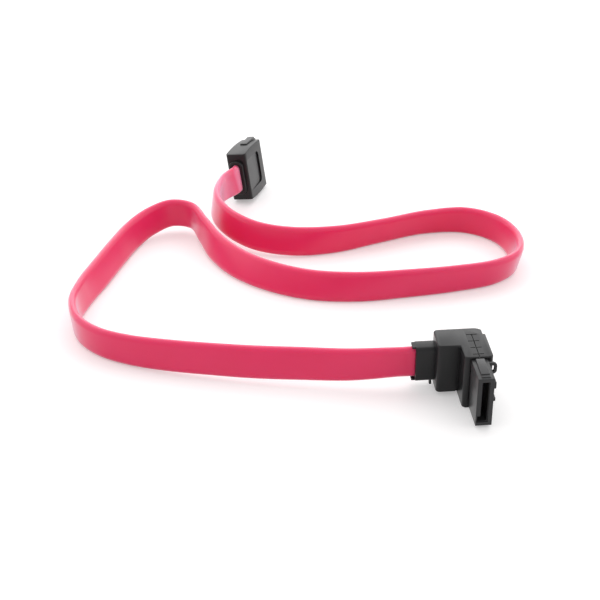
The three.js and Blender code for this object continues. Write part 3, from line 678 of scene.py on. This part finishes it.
HOOD_GROOVE_REACH = 0.7
HOOD_GROOVE_DEEP = 0.5
HOOD_GROOVE_TOP = 0.6
LUG_LOW = (3.8, -1.9, -6.25)
LUG_HIGH = (4.4, -0.9, -4.55)
LUG_RADIUS = 0.12
LUG_FOOT = -6
PAST_PLUG = 9  # a height outside the plug, up or down
BLOCK_INTO_HOOD = 2
AT_EDGE = 0.01
LONG_EDGE = 1


def upright(a, b):
    """Whether an edge stands along Z."""
    return abs(a.x - b.x) < AT_EDGE and abs(a.y - b.y) < AT_EDGE


def along_x(a, b):
    """Whether an edge runs along X."""
    return abs(a.x - b.x) > LONG_EDGE


angle_moulding = block(
    "angle_moulding",
    (HOOD_LEFT, HOOD_FRONT, -PLUG_HALF_HEIGHT),
    (HOOD_RIGHT, BACK_WALL, PLUG_HALF_HEIGHT),
)
bevel_edges(angle_moulding, lambda a, b: upright(a, b) and a.y < 0, HOOD_RADIUS)
bevel_edges(
    angle_moulding,
    lambda a, b: upright(a, b) and a.y > 0 and a.x > HOOD_LEFT + 1,
    HEEL_RADIUS,
    segments=6,
)
heel = block(
    "heel",
    (HOOD_RIGHT - HEEL_STEP, BACK_WALL - HEEL_LENGTH, -PAST_PLUG),
    (HOOD_RIGHT + CUT_OVER, BACK_WALL + CUT_OVER, PAST_PLUG),
)
fit(angle_moulding, heel, "DIFFERENCE")
low_block = block(
    "low_block",
    (COLLAR_LENGTH, BLOCK_FRONT, -PLUG_HALF_HEIGHT + BLOCK_LIFT),
    (HOOD_LEFT + BLOCK_INTO_HOOD, BACK_WALL, PLUG_HALF_HEIGHT),
)
bevel_edges(low_block, lambda a, b: upright(a, b) and a.x < COLLAR_LENGTH + 1, HOOD_RADIUS)
fit(angle_moulding, low_block, "UNION")
soften(angle_moulding, MOULDING_EDGE)
collar = block(
    "collar",
    (0, -COLLAR_HALF_THICK, -COLLAR_HALF_HEIGHT),
    (COLLAR_LENGTH + 1, COLLAR_HALF_THICK, COLLAR_HALF_HEIGHT),
)
bevel_edges(collar, along_x, COLLAR_RADIUS)
bevel_edges(collar, lambda a, b: max(a.x, b.x) < AT_EDGE, COLLAR_RIM, segments=2)
fit(angle_moulding, collar, "UNION")
ear_tip = COLLAR_HALF_HEIGHT - EAR_INSET
for low, high in [(EAR_INNER, ear_tip), (-ear_tip, -EAR_INNER)]:
    ear = block("ear", (-EAR_LENGTH, -EAR_HALF_THICK, low), (EAR_ROOT, EAR_HALF_THICK, high))
    bevel_edges(ear, lambda a, b: max(a.x, b.x) < 0, EAR_RADIUS, segments=3)
    fit(angle_moulding, ear, "UNION")
lug = block("lug", LUG_LOW, LUG_HIGH)
bevel_edges(lug, lambda a, b: max(a.z, b.z) < LUG_FOOT, LUG_RADIUS, segments=2)
fit(angle_moulding, lug, "UNION")

WAY_CLEARANCE = 0.08
WAY_RADIUS = 0.95
WAY_START = -2
WAY_SPARE = 0.2
way_end = CABLE_INTO_PLUG + WAY_SPARE
way_x, way_z = CABLE_THICK / 2 + WAY_CLEARANCE, CABLE_WIDTH / 2 + WAY_CLEARANCE
hood_groove = block(
    "hood_groove",
    (HOOD_LEFT - HOOD_GROOVE_REACH, BLOCK_FRONT - CUT_OVER, -PAST_PLUG),
    (HOOD_LEFT, BLOCK_FRONT + HOOD_GROOVE_DEEP, PLUG_HALF_HEIGHT - HOOD_GROOVE_TOP),
)
fit(angle_moulding, hood_groove, "DIFFERENCE")
angle_way = block("way", (WAY_START, -way_x, -way_z), (way_end, way_x, way_z))
bevel_edges(angle_way, along_x, WAY_RADIUS)
fit(angle_moulding, angle_way, "DIFFERENCE")
POCKET_CLEARANCE = 0.12
ANGLE_POCKET_ROOM = 1.8
ANGLE_POCKET_START = -14
pocket_x, pocket_z = NOSE_THICK / 2 + POCKET_CLEARANCE, NOSE_HEIGHT / 2 + POCKET_CLEARANCE
pocket_back = ANGLE_MATING_Y + NOSE_LENGTH + ANGLE_POCKET_ROOM
pocket = block(
    "pocket",
    (ANGLE_NOSE_X - pocket_x, ANGLE_POCKET_START, -pocket_z),
    (ANGLE_NOSE_X + pocket_x, pocket_back, pocket_z),
)
fit(angle_moulding, pocket, "DIFFERENCE")
# the scale engraved on top: one line toward the nose and short cross lines
SCALE_LINE = 0.26
SCALE_DEPTH = 0.3
SCALE_REACH = 1.45
SCALE_START = -12
SCALE_END = -0.4
SCALE_CROSSES = [-9.9, -6.8, -3.7, -0.6]
scale_top = PLUG_HALF_HEIGHT + CUT_OVER
scale_low = PLUG_HALF_HEIGHT - SCALE_DEPTH
half_line = SCALE_LINE / 2
scale_line = block(
    "scale_line",
    (ANGLE_NOSE_X - half_line, SCALE_START, scale_low),
    (ANGLE_NOSE_X + half_line, SCALE_END, scale_top),
)
fit(angle_moulding, scale_line, "DIFFERENCE")
for y in SCALE_CROSSES:
    low = (ANGLE_NOSE_X - SCALE_REACH, y - half_line, scale_low)
    high = (ANGLE_NOSE_X + SCALE_REACH, y + half_line, scale_top)
    fit(angle_moulding, block("scale_cross", low, high), "DIFFERENCE")
smooth(angle_moulding)
put_in_place(angle_moulding, ANGLE_PLUG)
MOULDING_DARK = (0.004, 0.004, 0.0045, 1)
MOULDING_LIGHT = (0.010, 0.010, 0.011, 1)
moulding_pvc = black_plastic(
    "moulding_pvc", MOULDING_DARK, MOULDING_LIGHT, gloss=0.38, grain_scale=4200, grain_depth=0.00003
)
angle_moulding.data.materials.append(moulding_pvc)
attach(angle_moulding, "root")
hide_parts("angle_plug_moulding")

# Straight moulding: the same black PVC as a tapered grip, with a raised ring round the cable.
# Its narrow sides bulge, each wide side has a finger panel that sinks toward the front,
# and the top is notched for the rail.
GRIP_BACK = 1.2
GRIP_FRONT = 15.8
GRIP_BACK_HALF = 3.35
GRIP_FRONT_HALF = 3.1
GRIP_CROWN = 0.5
GRIP_SLICES = 16
GRIP_BACK_RADIUS = 0.9
GRIP_FRONT_RADIUS = 0.5
GRIP_EDGE = 0.35
RING_HALF_THICK = 2.3
RING_HALF_HEIGHT = 5.6
RING_RADIUS = 1.9
RING_RIM = 0.3
PANEL_BACK = 2.1
PANEL_FRONT = 12.5
PANEL_DEPTH = 0.5
PANEL_HALF_HEIGHT = 5.2
PANEL_RADIUS = 1.6
PANEL_INNER = 2
PANEL_OUTER = 5
PANEL_BETWEEN = 3  # its inner corners lie below this, its outer ones above
STRAIGHT_POCKET_ROOM = 1.6
POCKET_FRONT = 17
NOTCH_HALF_WIDTH = 1.2
NOTCH_BACK = 8.93


def grip_share(y):
    """How far along the grip a place lies, from 0 at its back to 1 at its front."""
    return (y - GRIP_BACK) / (GRIP_FRONT - GRIP_BACK)


def grip_half(y):
    """Half the grip's thickness there."""
    return GRIP_BACK_HALF + (GRIP_FRONT_HALF - GRIP_BACK_HALF) * grip_share(y)


def along_y(a, b):
    """Whether an edge runs along Y."""
    return abs(a.y - b.y) > LONG_EDGE


outline = []
for step in range(GRIP_SLICES + 1):
    share = step / GRIP_SLICES
    y = GRIP_BACK + (GRIP_FRONT - GRIP_BACK) * share
    outline.append((y, PLUG_HALF_HEIGHT + 4 * GRIP_CROWN * share * (1 - share)))
outline += [(y, -z) for y, z in reversed(outline)]
grip_mesh = bmesh.new()
left_side = [grip_mesh.verts.new((-grip_half(y), y, z)) for y, z in outline]
right_side = [grip_mesh.verts.new((grip_half(y), y, z)) for y, z in outline]
grip_mesh.faces.new(left_side)
grip_mesh.faces.new(reversed(right_side))
for index in range(len(outline)):
    after = (index + 1) % len(outline)
    grip_mesh.faces.new([left_side[after], left_side[index], right_side[index], right_side[after]])
bmesh.ops.recalc_face_normals(grip_mesh, faces=grip_mesh.faces)
straight_moulding = bpy.data.objects.new("straight_moulding", bpy.data.meshes.new("straight_moulding"))
grip_mesh.to_mesh(straight_moulding.data)
grip_mesh.free()
bpy.context.collection.objects.link(straight_moulding)
bevel_edges(straight_moulding, lambda a, b: upright(a, b) and a.y < GRIP_BACK + TOUCH, GRIP_BACK_RADIUS)
bevel_edges(straight_moulding, lambda a, b: upright(a, b) and a.y > GRIP_FRONT - TOUCH, GRIP_FRONT_RADIUS)
soften(straight_moulding, GRIP_EDGE)
ring = block(
    "ring",
    (-RING_HALF_THICK, 0, -RING_HALF_HEIGHT),
    (RING_HALF_THICK, GRIP_BACK + 1, RING_HALF_HEIGHT),
)
bevel_edges(ring, along_y, RING_RADIUS, segments=6)
bevel_edges(ring, lambda a, b: max(a.y, b.y) < AT_EDGE, RING_RIM, segments=3)
fit(straight_moulding, ring, "UNION")
for side in (1, -1):
    low = (PANEL_INNER, PANEL_BACK, -PANEL_HALF_HEIGHT)
    panel = block("panel", low, (PANEL_OUTER, PANEL_FRONT, PANEL_HALF_HEIGHT))
    for vert in panel.data.vertices:
        if vert.co.x < PANEL_BETWEEN:
            sunk = PANEL_DEPTH if vert.co.y > PANEL_BACK + 1 else 0
            vert.co.x = grip_half(vert.co.y) - sunk
    bevel_edges(panel, along_x, PANEL_RADIUS, segments=5)
    if side < 0:
        panel.data.transform(Matrix.Rotation(math.pi, 4, "Y"))
    fit(straight_moulding, panel, "DIFFERENCE")
straight_way = block("way", (-way_x, WAY_START, -way_z), (way_x, way_end, way_z))
bevel_edges(straight_way, along_y, WAY_RADIUS)
fit(straight_moulding, straight_way, "DIFFERENCE")
pocket_back = STRAIGHT_MATING_Y - NOSE_LENGTH - STRAIGHT_POCKET_ROOM
pocket = block("pocket", (-pocket_x, pocket_back, -pocket_z), (pocket_x, POCKET_FRONT, pocket_z))
fit(straight_moulding, pocket, "DIFFERENCE")
notch = block("rail_notch", (-NOTCH_HALF_WIDTH, NOTCH_BACK, 0), (NOTCH_HALF_WIDTH, POCKET_FRONT, PAST_PLUG))
fit(straight_moulding, notch, "DIFFERENCE")
smooth(straight_moulding)
put_in_place(straight_moulding, STRAIGHT_PLUG)
straight_moulding.data.materials.append(moulding_pvc)
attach(straight_moulding, "root")
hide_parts("straight_plug_moulding")

# Table: a plain white sheet of matt paper under the cable, which takes its soft shadow.
# It is lit up a little by itself where a ray sees it, more so far off, as a picture's white ground is.
TABLE_SIDE = 8
TABLE_WHITE = (0.80, 0.79, 0.79, 1)
PAPER_ROUGHNESS = 0.9
PAPER_SPECULAR = 0.1
TABLE_LIFT = 0.31
FAR_LIFT = 0.52
LIFT_START = 0.25
LIFT_END = 1.4
bpy.ops.object.select_all(action="DESELECT")
bpy.ops.mesh.primitive_plane_add(size=TABLE_SIDE, location=(0, 0, 0))
table = bpy.context.object
table.name = "table"
table_white, made, link, paper = new_material("table_white")
paper.inputs["Base Color"].default_value = TABLE_WHITE
paper.inputs["Roughness"].default_value = PAPER_ROUGHNESS
paper.inputs["Specular IOR Level"].default_value = PAPER_SPECULAR


def backdrop_seen(made, link):
    """Whether a ray shows the backdrop itself: straight, mirrored or through glass."""
    rays = made.new("ShaderNodeLightPath")
    seen = rays.outputs["Is Camera Ray"]
    for kind in ("Is Glossy Ray", "Is Transmission Ray"):
        either = made.new("ShaderNodeMath")
        either.operation = "MAXIMUM"
        link.new(seen, either.inputs[0])
        link.new(rays.outputs[kind], either.inputs[1])
        seen = either.outputs["Value"]
    return seen


table_place = made.new("ShaderNodeTexCoord")
from_middle = made.new("ShaderNodeVectorMath")
from_middle.operation = "LENGTH"
link.new(table_place.outputs["Object"], from_middle.inputs[0])
lift = made.new("ShaderNodeMapRange")
lift.interpolation_type = "SMOOTHSTEP"
lift.inputs["From Min"].default_value = LIFT_START
lift.inputs["From Max"].default_value = LIFT_END
lift.inputs["To Min"].default_value = TABLE_LIFT
lift.inputs["To Max"].default_value = FAR_LIFT
link.new(from_middle.outputs["Value"], lift.inputs["Value"])
seen_lift = made.new("ShaderNodeMath")
seen_lift.operation = "MULTIPLY"
link.new(backdrop_seen(made, link), seen_lift.inputs[0])
link.new(lift.outputs["Result"], seen_lift.inputs[1])
paper.inputs["Emission Color"].default_value = (1, 1, 1, 1)
link.new(seen_lift.outputs["Value"], paper.inputs["Emission Strength"])
table.data.materials.append(table_white)

# Light: a white room that is brighter in reflections, a soft lamp on either side and one behind the cable.
# The front stays darker, so the faces toward the camera are deep in colour and the side faces shine.
ROOM_LIGHT = 0.62
ROOM_SHINE = 0.35
room = bpy.data.worlds.new("room")
bpy.context.scene.world = room
room.use_nodes = True
made, link = room.node_tree.nodes, room.node_tree.links
shine = made.new("ShaderNodeMath")
shine.operation = "MULTIPLY_ADD"
shine.inputs[1].default_value = ROOM_SHINE
shine.inputs[2].default_value = ROOM_LIGHT
link.new(backdrop_seen(made, link), shine.inputs[0])
link.new(shine.outputs["Value"], made["Background"].inputs["Strength"])
made["Background"].inputs["Color"].default_value = (1, 1, 1, 1)


def soft_lamp(name, place, size, power):
    """A square lamp that looks at the middle of the loop."""
    lamp = bpy.data.objects.new(name, bpy.data.lights.new(name, "AREA"))
    lamp.data.size = size
    lamp.data.energy = power
    lamp.location = place
    lamp.rotation_euler = (-lamp.location).to_track_quat("-Z", "Y").to_euler()
    bpy.context.collection.objects.link(lamp)


soft_lamp("back_lamp", place=(0, 0.72, 0.76), size=1.4, power=8.6)
soft_lamp("right_lamp", place=(0.8, 0.1, 0.4), size=1.0, power=2.4)
soft_lamp("left_lamp", place=(-0.8, 0.1, 0.4), size=1.0, power=2.2)

bpy.context.scene.view_settings.view_transform = "Standard"
